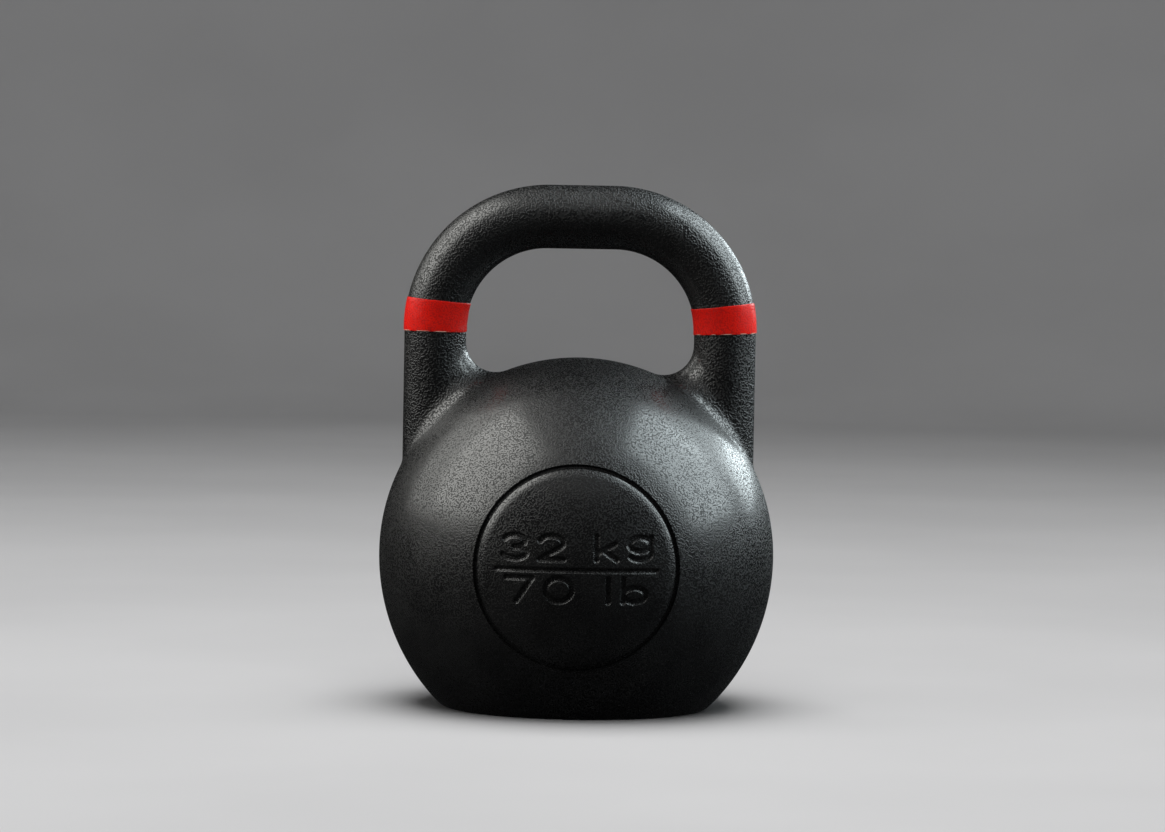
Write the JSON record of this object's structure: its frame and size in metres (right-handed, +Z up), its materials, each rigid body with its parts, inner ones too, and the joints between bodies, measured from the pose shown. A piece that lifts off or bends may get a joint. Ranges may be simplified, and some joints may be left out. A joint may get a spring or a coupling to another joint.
{
  "type": "kettlebell",
  "caption": "Kettlebell: round hollow iron ball on a flat base, smooth round-bar handle with a red band round each horn, ringed front disc with an engraved weight, and a plug in the base.",
  "frame": {"origin": "centre of the flat base, on the floor", "axes": "+Z up through the middle of the ball and the handle; +X along the handle's straight top, to the right of someone facing the weight mark; the weight mark faces -Y"},
  "size_m": [0.21, 0.21, 0.2773],
  "materials": {
    "coated_iron": "black powder coat with a fine leathery grain, satin",
    "red_band": "red vinyl band, satin, following the grain under it",
    "plug_steel": "blackened steel, satin",
    "iron_shot": "bare iron shot set in resin"
  },
  "bodies": {
    "root": {"bell": "coated_iron", "handle": "coated_iron", "colour_band_left": "red_band", "colour_band_right": "red_band", "core_plug": "plug_steel", "ballast": "iron_shot"}
  },
  "joints": []
}
